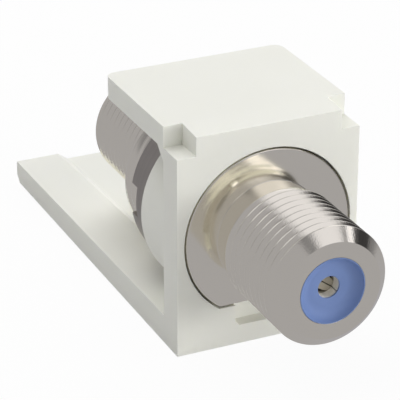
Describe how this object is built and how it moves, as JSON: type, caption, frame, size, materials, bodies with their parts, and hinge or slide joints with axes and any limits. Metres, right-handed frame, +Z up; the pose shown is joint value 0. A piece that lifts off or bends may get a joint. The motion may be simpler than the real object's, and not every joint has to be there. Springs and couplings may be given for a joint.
{
  "type": "snap-in coaxial coupler module",
  "caption": "Screw-on coaxial coupler with a threaded barrel at each end, held by a flange and a slotted ring nut in a moulded snap-in housing with a latch arm.",
  "frame": {"origin": "on the barrel axis, in the plane of the front plate's face", "axes": "+Y along the barrel axis from the front barrel to the rear, +Z up from the latch arm to the thick block"},
  "size_m": [0.0148, 0.0439, 0.0179],
  "materials": {
    "housing": "smooth moulded plastic",
    "coupler_shell": "bright nickel plate",
    "ring_nut": "dull nickel plate",
    "front_insulator": "smooth plastic",
    "rear_insulator": "smooth plastic",
    "centre_contact": "plated spring metal"
  },
  "bodies": {
    "root": {"housing": "housing", "coupler_shell": "coupler_shell", "ring_nut": "ring_nut", "front_insulator": "front_insulator", "rear_insulator": "rear_insulator", "centre_contact": "centre_contact"}
  },
  "joints": []
}
